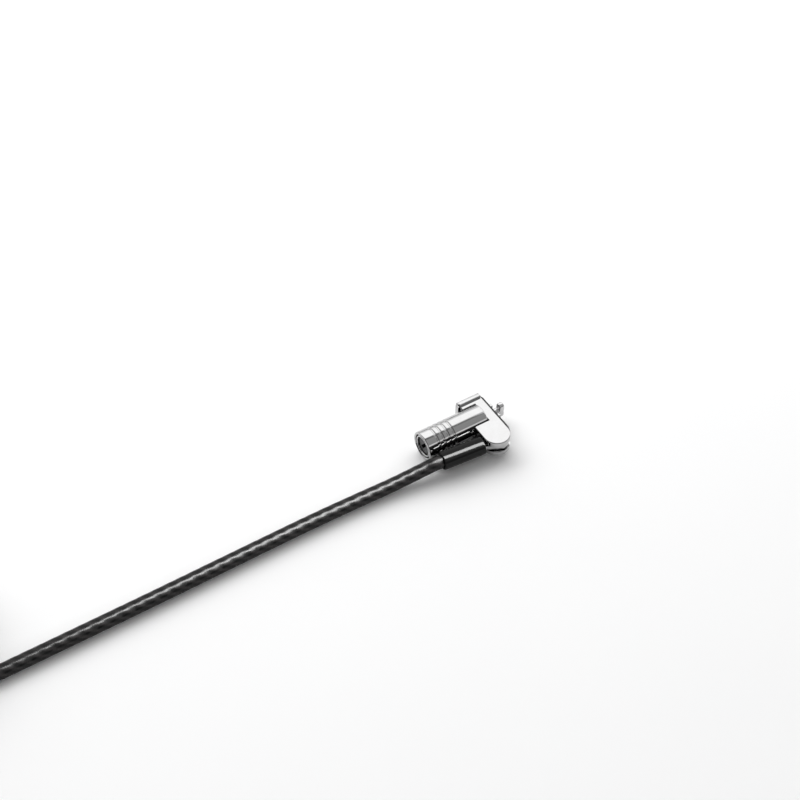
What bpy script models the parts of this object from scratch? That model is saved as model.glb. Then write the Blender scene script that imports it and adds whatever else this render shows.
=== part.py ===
"""Keyed laptop cable lock: die-cast head, keyed barrel with a T-bar, hinged cable boot and coiled cable.

World frame: metres, +Z up, z = 0 is the table.  +X points at the laptop, +Y at its back.
The lock frame sits on the barrel's axis in the plane that presses on the laptop.
"""
import math

import bmesh
import bpy
from mathutils import Matrix, Vector

MM = 0.001
GAP = 0.3 * MM                       # clearance kept between touching pieces

# ---- driving dimensions, in the lock frame (x = 0 is the contact plane) ----
BARREL_R = 5.5 * MM                  # the barrel lies on the table, so this is also the axis height
BARREL_BACK = -29.9 * MM             # key end of the barrel
BARREL_FRONT = -4.7 * MM             # end that stands in the head's saddle
SLEEVE_BORE_R = 4.55 * MM
GROOVE_COUNT = 4
GROOVE_FIRST = -25.4 * MM            # centre of the grip groove nearest the key end
GROOVE_PITCH = 2.2 * MM
GROOVE_WIDTH = 0.9 * MM
GROOVE_DEPTH = 0.45 * MM

PAD_THICKNESS = 0.8 * MM
HEAD_HALF_H = 3.4 * MM               # the head is 6.8 mm thick
HEAD_FRONT = -PAD_THICKNESS          # face that carries the pad
HEAD_REAR = -10.7 * MM
SADDLE_R = 5.8 * MM                  # saddle that the barrel lies in
WEB_REAR = -4.4 * MM                 # the web between barrel and laptop runs from here to HEAD_FRONT
ARM_INNER_Y = 6.2 * MM
ARM_OUTER_Y = 8.2 * MM
ARM_REAR = -10.5 * MM
ARM_SLANT = 0.8 * MM                 # the arm is this much shorter on the barrel's side
ARM_TOP = 4.4 * MM

T_SHAFT_R = 1.25 * MM
T_REACH = 4.4 * MM                   # the T-bar's tip stands this far past the contact plane
T_BAR_THICKNESS = 2.0 * MM
T_BAR_HALF_SPAN = 3.2 * MM
LUG_REACH = 1.6 * MM                 # lugs that fill the slot's ends

SCREW_Y = 2.5 * MM                   # the two bush screws stand at (y, z) and (-y, -z)
SCREW_Z = 2.1 * MM
SCREW_R = 0.5 * MM
SCREW_HEAD_R = 0.85 * MM
LOCK_PIN_X = -7.0 * MM               # cross pin that holds the barrel in the head
LOCK_PIN_R = 0.7 * MM

PIVOT = Vector((-5.75 * MM, -11.0 * MM, 0.0))
EAR_R = 4.95 * MM
SLOT_HALF = 1.35 * MM                # gap between the clevis ears
SLOT_DEPTH_R = 6.2 * MM              # the slot is this deep, measured from the pivot
TONGUE_HALF = 0.8 * MM
TONGUE_R = 4.5 * MM
WASHER_GAP = 0.155 * MM              # play on each side of a pivot washer
PIVOT_PIN_R = 1.1 * MM
PIVOT_PIN_TOP = 2.4 * MM             # the pin is blind: its upper end stays inside the upper ear
BOOT_YAW = math.radians(-4.5)        # the boot leans this much towards the barrel
NECK_START = 5.4 * MM                # distances from the pivot, along the boot
NECK_END = 7.6 * MM
NECK_R = 2.35 * MM                   # the neck stands inside the boot
BOOT_START = 5.8 * MM
BOOT_END = 22.1 * MM
BOOT_R = 3.35 * MM
BOOT_BORE_R = 2.7 * MM
FERRULE_BODY_R = 2.35 * MM           # steel ferrule inside the boot, with a stub that turns in the neck
FERRULE_STUB_R = 1.2 * MM

CABLE_R = 2.5 * MM
FACE_X = -(BARREL_BACK + T_REACH) / 2          # the world origin is under the middle of the lock
AXIS_Y = -(ARM_OUTER_Y + PIVOT.y - EAR_R) / 2
LOCK_ORIGIN = Vector((FACE_X, AXIS_Y, BARREL_R))

# ---- cable on the table, in the world frame ----
CABLE_LINE_Y = AXIS_Y - 6.5 * MM               # the cable lies straight beside the barrel's line
COIL_MEAN_R = 29.0 * MM
COIL_TURNS_WIDE = 3
COIL_TURNS_HIGH = 3
COIL_INNER_R = COIL_MEAN_R - COIL_TURNS_WIDE * CABLE_R
COIL_OUTER_R = COIL_MEAN_R + COIL_TURNS_WIDE * CABLE_R
COIL_BASE = 1.2 * MM                           # the ring lies on the straps of its ties
COIL_TOP = COIL_BASE + 2 * COIL_TURNS_HIGH * CABLE_R
COIL_CENTRE = Vector((FACE_X - 228.0 * MM, CABLE_LINE_Y + COIL_OUTER_R - CABLE_R, 0.0))
TIE_THICKNESS = 0.8 * MM
TIE_WIDTH = 9.0 * MM
TIE_ANGLES = (50, 160)                         # degrees round the coil
FERRULE_LENGTH = 15.0 * MM
FERRULE_HALF_WIDTH = 4.8 * MM                  # the crimped ferrule is oval
FERRULE_HALF_HEIGHT = 3.0 * MM
TAIL_R = 20.0 * MM                             # bend of the tail that crosses the coil's top
TAIL_START_R = COIL_OUTER_R - CABLE_R
TAIL_Z = COIL_TOP + GAP + FERRULE_HALF_HEIGHT
LOOP_TUBE_R = 2.0 * MM
LOOP_HALF_WIDTH = 12.0 * MM
LOOP_LENGTH = 31.0 * MM
LOOP_Z = COIL_TOP + GAP + LOOP_TUBE_R

ROUND = 36                                     # sides of a round piece


# ---- materials ----
def material(name, colour, roughness, metallic):
    mat = bpy.data.materials.new(name)
    mat.use_nodes = True
    shader = mat.node_tree.nodes["Principled BSDF"]
    shader.inputs["Base Color"].default_value = (*colour, 1.0)
    shader.inputs["Roughness"].default_value = roughness
    shader.inputs["Metallic"].default_value = metallic
    return mat


def make_materials():
    return {
        "chrome": material("chrome", (0.50, 0.50, 0.505), 0.08, 1.0),
        "steel": material("steel", (0.56, 0.57, 0.58), 0.32, 1.0),
        "brass": material("brass", (0.78, 0.60, 0.30), 0.30, 1.0),
        "rubber": material("rubber", (0.035, 0.035, 0.037), 0.75, 0.0),
        "boot_plastic": material("boot_plastic", (0.012, 0.012, 0.014), 0.22, 0.0),
        "cable_sheath": material("cable_sheath", (0.05, 0.048, 0.048), 0.25, 0.0),
        "tie_fabric": material("tie_fabric", (0.02, 0.02, 0.022), 0.9, 0.0),
    }


# ---- shape helpers ----
def clear_scene():
    for obj in list(bpy.data.objects):
        bpy.data.objects.remove(obj, do_unlink=True)


def frame_empty(name, location, yaw=0.0, parent=None):
    empty = bpy.data.objects.new(name, None)
    empty.location = location
    empty.rotation_euler = (0.0, 0.0, yaw)
    empty.parent = parent
    bpy.context.scene.collection.objects.link(empty)
    return empty


def add_solid(name, bm, mat, parent, bevel=0.0):
    """Turns a bmesh into a named object with outward faces, smooth round sides and an optional bevel."""
    bmesh.ops.remove_doubles(bm, verts=bm.verts, dist=0.001 * MM)
    bmesh.ops.recalc_face_normals(bm, faces=bm.faces)
    mesh = bpy.data.meshes.new(name)
    bm.to_mesh(mesh)
    bm.free()
    mesh.shade_smooth()
    mesh.set_sharp_from_angle(angle=math.radians(32))
    obj = bpy.data.objects.new(name, mesh)
    obj.parent = parent
    if mat is not None:
        mesh.materials.append(mat)
    bpy.context.scene.collection.objects.link(obj)
    if bevel:
        modifier = obj.modifiers.new("edge_bevel", "BEVEL")
        modifier.width = bevel
        modifier.segments = 2
        modifier.limit_method = "ANGLE"
        modifier.angle_limit = math.radians(50)
    return obj


def boolean(target, tool, operation="DIFFERENCE"):
    """Cuts or joins a hidden tool object; the tool stays in the file as a wire guide."""
    tool.hide_render = True
    tool.display_type = "WIRE"
    modifier = target.modifiers.new(f"{operation.lower()}_{tool.name}", "BOOLEAN")
    modifier.operation = operation
    modifier.object = tool
    modifier.solver = "EXACT"


def turned_mesh(profile, closed, sides=ROUND):
    """Revolves (x, r) points about X; a closed profile makes a ring, an open one runs axis to axis."""
    bm = bmesh.new()
    rings = []
    for x, radius in profile:
        if radius <= 0.0:
            rings.append([bm.verts.new((x, 0.0, 0.0))] * sides)
            continue
        ring = []
        for step in range(sides):
            angle = 2 * math.pi * step / sides
            ring.append(bm.verts.new((x, radius * math.cos(angle), radius * math.sin(angle))))
        rings.append(ring)
    count = len(rings)
    for index in range(count if closed else count - 1):
        near, far = rings[index], rings[(index + 1) % count]
        for step in range(sides):
            corners = [near[step], near[(step + 1) % sides], far[(step + 1) % sides], far[step]]
            corners = list(dict.fromkeys(corners))
            if len(corners) > 2:
                bm.faces.new(corners)
    return bm


def turned(name, profile, mat, parent, closed=False, sides=ROUND):
    return add_solid(name, turned_mesh(profile, closed, sides), mat, parent)


def tube_ring(x0, x1, outer, inner):
    """Closed profile of a plain ring from x0 to x1."""
    return [(x0, outer), (x1, outer), (x1, inner), (x0, inner)]


def prism_mesh(outline, low, high, axis="Z"):
    """Extrudes a closed outline of (a, b) points; axis Z reads them as (x, y), axis X as (y, z)."""
    def corner(a, b, level):
        return (a, b, level) if axis == "Z" else (level, a, b)

    bm = bmesh.new()
    bottom = [bm.verts.new(corner(a, b, low)) for a, b in outline]
    top = [bm.verts.new(corner(a, b, high)) for a, b in outline]
    bm.faces.new(bottom)
    bm.faces.new(top)
    for index in range(len(outline)):
        after = (index + 1) % len(outline)
        bm.faces.new((bottom[index], bottom[after], top[after], top[index]))
    return bm


def rectangle(a0, a1, b0, b1):
    return [(a0, b0), (a1, b0), (a1, b1), (a0, b1)]


def arc(cx, cy, radius, start, stop, steps):
    """Points on a circle from start to stop, in degrees."""
    points = []
    for step in range(steps + 1):
        angle = math.radians(start + (stop - start) * step / steps)
        points.append((cx + radius * math.cos(angle), cy + radius * math.sin(angle)))
    return points


def circle(cx, cy, radius, sides=24):
    return arc(cx, cy, radius, 0, 360, sides)[:-1]


def cut_prism(target, name, outline, low, high, parent, axis="Z"):
    boolean(target, add_solid(name, prism_mesh(outline, low, high, axis), None, parent))


# ---- head ----
def head_outline():
    """Plan of the plate: straight along the laptop, round about the pivot, square at the arm."""
    round_end = arc(PIVOT.x, PIVOT.y, EAR_R, 0, -180, 28)
    return [(HEAD_FRONT, ARM_OUTER_Y), *round_end, (HEAD_REAR, ARM_OUTER_Y)]


def make_head(mats, lock):
    head = add_solid("head_housing", prism_mesh(head_outline(), -HEAD_HALF_H, HEAD_HALF_H),
                     mats["chrome"], lock, bevel=0.45 * MM)
    arm_front, arm_outer = HEAD_FRONT - 0.1 * MM, ARM_OUTER_Y - 0.02 * MM
    plan = [(ARM_REAR, arm_outer), (ARM_REAR + ARM_SLANT, ARM_INNER_Y), (arm_front, ARM_INNER_Y),
            (arm_front, arm_outer)]
    arm = add_solid("tool_arm", prism_mesh(plan, -HEAD_HALF_H + 0.5 * MM, ARM_TOP), None, lock,
                    bevel=0.3 * MM)
    boolean(head, arm, "UNION")
    cut_prism(head, "tool_saddle", circle(0, 0, SADDLE_R, 48), -40 * MM, WEB_REAR, lock, "X")
    behind_arm = rectangle(-40 * MM, ARM_REAR + ARM_SLANT, 0.0, ARM_INNER_Y)
    cut_prism(head, "tool_arm_end", behind_arm, -9 * MM, 9 * MM, lock)
    clevis = arc(PIVOT.x, PIVOT.y, EAR_R - 0.05 * MM, -90, 90, 24)
    clevis += arc(PIVOT.x, PIVOT.y, SLOT_DEPTH_R, 100, 270, 24)
    cut_prism(head, "tool_clevis_slot", clevis, -SLOT_HALF, SLOT_HALF, lock)
    front_relief = rectangle(PIVOT.x, 1 * MM, PIVOT.y - 8 * MM, PIVOT.y)
    cut_prism(head, "tool_clevis_front", front_relief, -SLOT_HALF, SLOT_HALF, lock)
    cut_prism(head, "tool_pin_hole", circle(PIVOT.x, PIVOT.y, PIVOT_PIN_R + GAP), -9 * MM,
              PIVOT_PIN_TOP + GAP, lock)
    cut_prism(head, "tool_spindle_hole", circle(0, 0, T_SHAFT_R + GAP), -6 * MM, 1 * MM, lock, "X")
    for side in (1, -1):
        lug_y = sorted((side * 1.9 * MM, side * 3.3 * MM))
        lug = prism_mesh(rectangle(*lug_y, -1.3 * MM, 1.3 * MM), HEAD_FRONT - 0.5 * MM, LUG_REACH, "X")
        boolean(head, add_solid(f"tool_lug_{side}", lug, None, lock, bevel=0.25 * MM), "UNION")
        y, z = side * SCREW_Y, side * SCREW_Z
        cut_prism(head, f"tool_screw_{side}", circle(y, z, SCREW_R + GAP), -6 * MM, 0.0, lock, "X")
        cut_prism(head, f"tool_sink_{side}", circle(y, z, SCREW_HEAD_R + GAP), -2.0 * MM, 0.0, lock, "X")


def make_face_pad(mats, lock):
    """Rubber pad between head and laptop, with a window for the T-bar and the lugs."""
    end = 2.7 * MM
    outline = arc(5.6 * MM, 0.0, end, 90, -90, 12) + arc(-9.0 * MM, 0.0, end, -90, -270, 12)
    pad = add_solid("face_pad", prism_mesh(outline, HEAD_FRONT + 0.25 * MM, 0.0, "X"), mats["rubber"], lock)
    cut_prism(pad, "tool_pad_window", rectangle(-3.7 * MM, 3.7 * MM, -1.7 * MM, 1.7 * MM),
              -2 * MM, 2 * MM, lock, "X")


# ---- barrel and what it holds ----
def sleeve_profile():
    """Outer skin with rounded key end, grip grooves and a plain front, then the bore and the key-end lip."""
    rounding = 0.5 * MM
    points = []
    for x, radius in arc(BARREL_BACK + rounding, BARREL_R - rounding, rounding, 180, 90, 5):
        points.append((x, radius))
    for index in range(GROOVE_COUNT):
        middle = GROOVE_FIRST + index * GROOVE_PITCH
        half = GROOVE_WIDTH / 2
        floor = BARREL_R - GROOVE_DEPTH
        points += [(middle - half, BARREL_R), (middle - half * 0.45, floor),
                   (middle + half * 0.45, floor), (middle + half, BARREL_R)]
    points += [(BARREL_FRONT - 0.35 * MM, BARREL_R), (BARREL_FRONT, BARREL_R - 0.35 * MM)]
    points += [(BARREL_FRONT, SLEEVE_BORE_R), (BARREL_BACK + 0.9 * MM, SLEEVE_BORE_R)]
    points += [(BARREL_BACK, SLEEVE_BORE_R)]
    return points


def make_barrel(mats, lock):
    sleeve = turned("barrel_sleeve", sleeve_profile(), mats["chrome"], lock, closed=True, sides=48)
    pin_hole = circle(LOCK_PIN_X, 0.0, LOCK_PIN_R + GAP, 20)
    cut_prism(sleeve, "tool_sleeve_pin", pin_hole, -7 * MM, -3.8 * MM, lock)
    back = BARREL_BACK
    turned("face_ring", [(back + 0.15 * MM, 3.95 * MM), (back + 0.4 * MM, 4.25 * MM),
                         (back + 1.5 * MM, 4.25 * MM), (back + 1.5 * MM, 3.5 * MM),
                         (back + 0.4 * MM, 3.5 * MM), (back + 0.15 * MM, 3.7 * MM)],
           mats["chrome"], lock, closed=True)
    body = [(back + 1.8 * MM, 4.25 * MM), (-12.4 * MM, 4.25 * MM), (-12.4 * MM, 2.1 * MM),
            (-13.0 * MM, 2.1 * MM), (-13.0 * MM, 3.5 * MM), (back + 1.8 * MM, 3.5 * MM)]
    turned("cylinder_body", body, mats["brass"], lock, closed=True)
    bush = turned("front_bush", tube_ring(-9.0 * MM, BARREL_FRONT, 4.2 * MM, T_SHAFT_R + GAP),
                  mats["steel"], lock, closed=True)
    cut_prism(bush, "tool_bush_pin", pin_hole, -7 * MM, -3.0 * MM, lock)
    pin = prism_mesh(circle(LOCK_PIN_X, 0.0, LOCK_PIN_R, 20), -5.25 * MM, -3.35 * MM)
    add_solid("barrel_pin", pin, mats["steel"], lock)
    for side, label in ((1, "upper"), (-1, "lower")):
        y, z = side * SCREW_Y, side * SCREW_Z
        hole = circle(y, z, SCREW_R + GAP, 20)
        cut_prism(bush, f"tool_bush_screw_{side}", hole, -10 * MM, 0.0, lock, "X")
        screw = turned_mesh([(-8.4 * MM, 0.0), (-8.4 * MM, SCREW_R), (-1.7 * MM, SCREW_R),
                             (-1.7 * MM, SCREW_HEAD_R), (-0.9 * MM, SCREW_HEAD_R), (-0.9 * MM, 0.0)],
                            False, 24)
        bmesh.ops.translate(screw, verts=screw.verts, vec=(0.0, y, z))
        add_solid(f"bush_screw_{label}", screw, mats["steel"], lock)


# ---- the key-turned core ----
KEYWAY_TILT = 35                                # lean of the keyway when locked, in degrees


def slot_outline(half_width, half_height, tilt):
    """Rectangle in (y, z), turned by tilt degrees."""
    turn = Matrix.Rotation(math.radians(tilt), 2)
    return [tuple(turn @ Vector(point)) for point in
            rectangle(-half_width, half_width, -half_height, half_height)]


def make_core(mats, lock):
    front = BARREL_BACK + 0.75 * MM
    cap_end = front + 1.6 * MM
    cage_end = -14.8 * MM
    outer, inner = 3.2 * MM, 2.6 * MM
    plug = turned("key_plug", [(front, 0.0), (front, outer - 0.3 * MM), (front + 0.3 * MM, outer),
                               (cage_end, outer), (cage_end, inner), (cap_end, inner), (cap_end, 0.0)],
                  mats["steel"], lock)
    cut_prism(plug, "tool_keyway", slot_outline(0.65 * MM, 1.9 * MM, KEYWAY_TILT),
              front - 1 * MM, cap_end + 1 * MM, lock, "X")
    cut_prism(plug, "tool_sidebar_slot", rectangle(-0.55 * MM, 0.55 * MM, 2.0 * MM, 4.0 * MM),
              -25.8 * MM, -16.0 * MM, lock, "X")
    guard = turned("guard_disc", [(-26.8 * MM, 0.0), (-26.8 * MM, 2.3 * MM), (-26.1 * MM, 2.3 * MM),
                                  (-26.1 * MM, 0.0)], mats["steel"], lock, sides=24)
    cut_prism(guard, "tool_guard_slot", slot_outline(0.5 * MM, 1.6 * MM, KEYWAY_TILT),
              -28 * MM, -25 * MM, lock, "X")
    for index in range(6):
        start = -25.8 * MM + index * 1.62 * MM
        disc = turned(f"lock_disc_{index + 1}", [(start, 0.0), (start, 2.2 * MM), (start + 1.3 * MM, 2.2 * MM),
                                                 (start + 1.3 * MM, 0.0)], mats["brass"], lock, sides=24)
        cut_prism(disc, f"tool_disc_slot_{index}", slot_outline(0.55 * MM, 1.5 * MM, KEYWAY_TILT),
                  start - 1 * MM, start + 2 * MM, lock, "X")
        gate = rectangle(-0.5 * MM, 0.5 * MM, 1.75 * MM, 3 * MM)
        cut_prism(disc, f"tool_disc_gate_{index}", gate, start - 1 * MM, start + 2 * MM, lock, "X")
    bar = prism_mesh(rectangle(-0.3 * MM, 0.3 * MM, 2.4 * MM, 3.05 * MM), -25.5 * MM, -16.3 * MM, "X")
    add_solid("sidebar", bar, mats["steel"], lock)
    turned("disc_washer", tube_ring(-16.0 * MM, -15.6 * MM, 2.2 * MM, 1.0 * MM), mats["steel"], lock,
           closed=True, sides=24)
    tail = turned("drive_tail", [(-15.3 * MM, 0.0), (-15.3 * MM, 2.3 * MM), (-13.3 * MM, 2.3 * MM),
                                 (-13.3 * MM, 1.8 * MM), (-12.15 * MM, 1.8 * MM), (-12.15 * MM, 1.25 * MM),
                                 (-11.65 * MM, 1.25 * MM), (-11.65 * MM, 1.8 * MM), (-11.3 * MM, 1.8 * MM),
                                 (-11.3 * MM, 0.0)], mats["steel"], lock, sides=24)
    tang = prism_mesh(rectangle(-0.45 * MM, 0.45 * MM, -1.7 * MM, 1.7 * MM), -11.6 * MM, -10.25 * MM, "X")
    boolean(tail, add_solid("tool_tang", tang, None, lock), "UNION")
    clip = arc(0.0, 0.0, 2.6 * MM, -150, 150, 24) + arc(0.0, 0.0, 1.5 * MM, 150, -150, 24)
    add_solid("tail_clip", prism_mesh(clip, -12.05 * MM, -11.75 * MM, "X"), mats["steel"], lock)


def make_t_bar(mats, lock):
    """Spindle with a slotted rear flange and the cross-piece that turns behind the laptop's slot."""
    cross_start = T_REACH - T_BAR_THICKNESS
    shaft = turned("t_bar", [(-10.7 * MM, 0.0), (-10.7 * MM, 3.0 * MM), (-9.3 * MM, 3.0 * MM),
                             (-9.3 * MM, T_SHAFT_R), (cross_start + 0.5 * MM, T_SHAFT_R),
                             (cross_start + 0.5 * MM, 0.0)], mats["steel"], lock)
    slot = rectangle(-0.75 * MM, 0.75 * MM, -4 * MM, 4 * MM)
    cut_prism(shaft, "tool_flange_slot", slot, -12 * MM, -9.9 * MM, lock, "X")
    half_width = T_SHAFT_R + 0.02 * MM
    span = T_BAR_HALF_SPAN - half_width
    cross = arc(0.0, span, half_width, 0, 180, 10) + arc(0.0, -span, half_width, 180, 360, 10)
    tool = add_solid("tool_cross", prism_mesh(cross, cross_start, T_REACH, "X"), None, lock, bevel=0.3 * MM)
    boolean(shaft, tool, "UNION")


# ---- hinged cable end ----
def make_pivot(mats, lock):
    pin = turned_mesh([(-HEAD_HALF_H, 0.0), (-HEAD_HALF_H, PIVOT_PIN_R), (PIVOT_PIN_TOP, PIVOT_PIN_R),
                       (PIVOT_PIN_TOP, 0.0)], False, 24)
    bmesh.ops.rotate(pin, verts=pin.verts, matrix=Matrix.Rotation(-math.pi / 2, 3, "Y"))
    bmesh.ops.translate(pin, verts=pin.verts, vec=PIVOT)
    add_solid("pivot_pin", pin, mats["steel"], lock)
    inner, outer = TONGUE_HALF + WASHER_GAP, SLOT_HALF - WASHER_GAP
    for low, high, label in ((inner, outer, "upper"), (-outer, -inner, "lower")):
        washer = turned_mesh(tube_ring(low, high, 3.0 * MM, 1.4 * MM), True, 24)
        bmesh.ops.rotate(washer, verts=washer.verts, matrix=Matrix.Rotation(-math.pi / 2, 3, "Y"))
        bmesh.ops.translate(washer, verts=washer.verts, vec=PIVOT)
        add_solid(f"pivot_washer_{label}", washer, mats["steel"], lock)


def make_knuckle(mats, hinge):
    """Tongue between the ears, running out into the round neck inside the boot; built along -X."""
    half = NECK_R - 0.2 * MM
    outline = arc(0.0, 0.0, TONGUE_R, -80, 80, 20)
    outline += [(-1.5 * MM, half + 1.6 * MM), (-NECK_START + 0.6 * MM, half), (-NECK_END + 0.1 * MM, half)]
    outline += [(-NECK_END + 0.1 * MM, -half), (-NECK_START + 0.6 * MM, -half),
                (-1.5 * MM, -half - 1.6 * MM)]
    knuckle = add_solid("swivel_knuckle", prism_mesh(outline, -TONGUE_HALF, TONGUE_HALF),
                        mats["chrome"], hinge)
    neck = turned_mesh([(-NECK_END, 0.0), (-NECK_END, NECK_R - 0.15 * MM), (-NECK_END + 0.2 * MM, NECK_R),
                        (-NECK_START, NECK_R), (-NECK_START, 0.0)], False)
    boolean(knuckle, add_solid("tool_neck", neck, None, hinge), "UNION")
    cut_prism(knuckle, "tool_knuckle_pin", circle(0, 0, PIVOT_PIN_R + GAP), -5 * MM, 5 * MM, hinge)
    socket_end = -NECK_START - 0.2 * MM
    socket = turned_mesh([(-9 * MM, 0.0), (-9 * MM, FERRULE_STUB_R + GAP),
                          (socket_end, FERRULE_STUB_R + GAP), (socket_end, 0.0)], False, 32)
    boolean(knuckle, add_solid("tool_socket", socket, None, hinge))


def make_boot(mats, hinge):
    rounding = 0.45 * MM
    skin = [(-x, r) for x, r in arc(BOOT_END - rounding, BOOT_R - rounding, rounding, 0, 90, 5)]
    skin += [(-BOOT_START - 0.25 * MM, BOOT_R), (-BOOT_START, BOOT_R - 0.25 * MM)]
    bore = [(-BOOT_START, BOOT_BORE_R), (-BOOT_END, BOOT_BORE_R)]
    turned("cable_boot", skin + bore, mats["boot_plastic"], hinge, closed=True)
    back, shoulder, tip = -BOOT_END + 3.6 * MM, -NECK_END - GAP, -NECK_START - 0.5 * MM
    turned("cable_ferrule", [(back, 0.0), (back, FERRULE_BODY_R), (shoulder, FERRULE_BODY_R),
                             (shoulder, FERRULE_STUB_R), (tip, FERRULE_STUB_R), (tip, 0.0)],
           mats["steel"], hinge, sides=24)


# ---- cable, coil, tail and end loop, in world coordinates ----
def smooth_path(points, spacing):
    """Reads a Catmull-Rom curve through the points at an even spacing."""
    knots = [points[0] * 2 - points[1], *points, points[-1] * 2 - points[-2]]
    dense = []
    for index in range(1, len(knots) - 2):
        a, b, c, d = knots[index - 1:index + 3]
        for step in range(24):
            t = step / 24
            dense.append(0.5 * ((2 * b) + (c - a) * t + (2 * a - 5 * b + 4 * c - d) * t * t
                                + (3 * b - a - 3 * c + d) * t ** 3))
    dense.append(points[-1])
    total = sum((after - before).length for before, after in zip(dense, dense[1:]))
    count = max(2, round(total / spacing))
    picked, travelled, target = [dense[0]], 0.0, total / count
    for before, after in zip(dense, dense[1:]):
        travelled += (after - before).length
        while len(picked) < count and travelled >= target * len(picked):
            picked.append(after)
    picked.append(dense[-1])
    return picked


def cable_route():
    """From inside the boot, down to the table and straight on to the coil; hand-chosen points."""
    hinge = Matrix.Translation(LOCK_ORIGIN + PIVOT) @ Matrix.Rotation(BOOT_YAW, 4, "Z")
    start = hinge @ Vector((-BOOT_END + 3.2 * MM, 0.0, 0.0))
    leave = hinge @ Vector((-BOOT_END - 2.0 * MM, 0.0, 0.0))
    side_step = (2.0, 1.1, 0.35, -0.05, 0.0, 0.15, 0.1, 0.0, 0.0)
    height = (4.6, 3.1, 2.6, 2.55, 2.55, 2.55, 2.55, 2.55, 2.8)
    distance = (-34.0, -46.0, -60.0, -78.0, -105.0, -135.0, -165.0, -190.0, -209.2)
    points = [start, leave]
    for x, y, z in zip(distance, side_step, height):
        points.append(Vector((FACE_X + x * MM, CABLE_LINE_Y - y * MM, z * MM)))
    return points


def tail_route():
    """From the coil's top turn, round a quarter bend, to the end ferrule."""
    points = []
    for step in range(7):
        angle = math.radians(-90 * step / 6)
        points.append(COIL_CENTRE + Vector((TAIL_START_R - TAIL_R + TAIL_R * math.cos(angle),
                                            TAIL_R * math.sin(angle), TAIL_Z)))
    return points


def cable_tube(name, points, mat, hinge, spacing, radius=CABLE_R):
    curve = bpy.data.curves.new(name, "CURVE")
    curve.dimensions = "3D"
    curve.bevel_depth = radius
    curve.bevel_resolution = 2
    curve.use_fill_caps = True
    spline = curve.splines.new("POLY")
    path = smooth_path(points, spacing)
    spline.points.add(len(path) - 1)
    for slot, place in zip(spline.points, path):
        slot.co = (*place, 1.0)
    curve.materials.append(mat)
    obj = bpy.data.objects.new(name, curve)
    bpy.context.scene.collection.objects.link(obj)
    hang_on(obj, hinge)


def hang_on(obj, parent):
    """Parents an object that is modelled in world coordinates."""
    bpy.context.view_layer.update()
    obj.parent = parent
    obj.matrix_parent_inverse = parent.matrix_world.inverted()


def make_coil(mats, hinge):
    inner, outer = COIL_INNER_R, COIL_OUTER_R
    corner = 1.6 * MM
    section = [(COIL_BASE, inner + corner), (COIL_BASE, outer - corner), (COIL_BASE + corner, outer),
               (COIL_TOP - corner, outer), (COIL_TOP, outer - corner), (COIL_TOP, inner + corner),
               (COIL_TOP - corner, inner), (COIL_BASE + corner, inner)]
    ring = turned_mesh(section, True, 48)
    bmesh.ops.rotate(ring, verts=ring.verts, matrix=Matrix.Rotation(-math.pi / 2, 3, "Y"))
    bmesh.ops.translate(ring, verts=ring.verts, vec=COIL_CENTRE)
    hang_on(add_solid("cable_coil", ring, mats["cable_sheath"], None), hinge)
    for index, degrees in enumerate(TIE_ANGLES):
        make_tie(f"cable_tie_{index + 1}", degrees, mats, hinge)


def make_tie(name, degrees, mats, hinge):
    """Strap closed round the coil's section."""
    inner = math.sqrt(COIL_INNER_R ** 2 - (TIE_WIDTH / 2) ** 2)
    hole = rectangle(inner - GAP, COIL_OUTER_R + GAP, COIL_BASE - GAP, COIL_TOP + GAP)
    skin = rectangle(hole[0][0] - TIE_THICKNESS, hole[1][0] + TIE_THICKNESS,
                     0.0, hole[2][1] + TIE_THICKNESS)
    bm = bmesh.new()
    loops = []
    for side in (-TIE_WIDTH / 2, TIE_WIDTH / 2):
        loops.append([bm.verts.new((r, side, z)) for r, z in skin])
        loops.append([bm.verts.new((r, side, z)) for r, z in hole])
    for index in range(4):
        after = (index + 1) % 4
        for near, far in ((0, 1), (2, 3), (0, 2), (1, 3)):
            bm.faces.new((loops[near][index], loops[near][after], loops[far][after], loops[far][index]))
    place = Matrix.Translation(COIL_CENTRE) @ Matrix.Rotation(math.radians(degrees), 4, "Z")
    bmesh.ops.transform(bm, matrix=place, verts=bm.verts)
    hang_on(add_solid(name, bm, mats["tie_fabric"], None, bevel=0.2 * MM), hinge)


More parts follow.
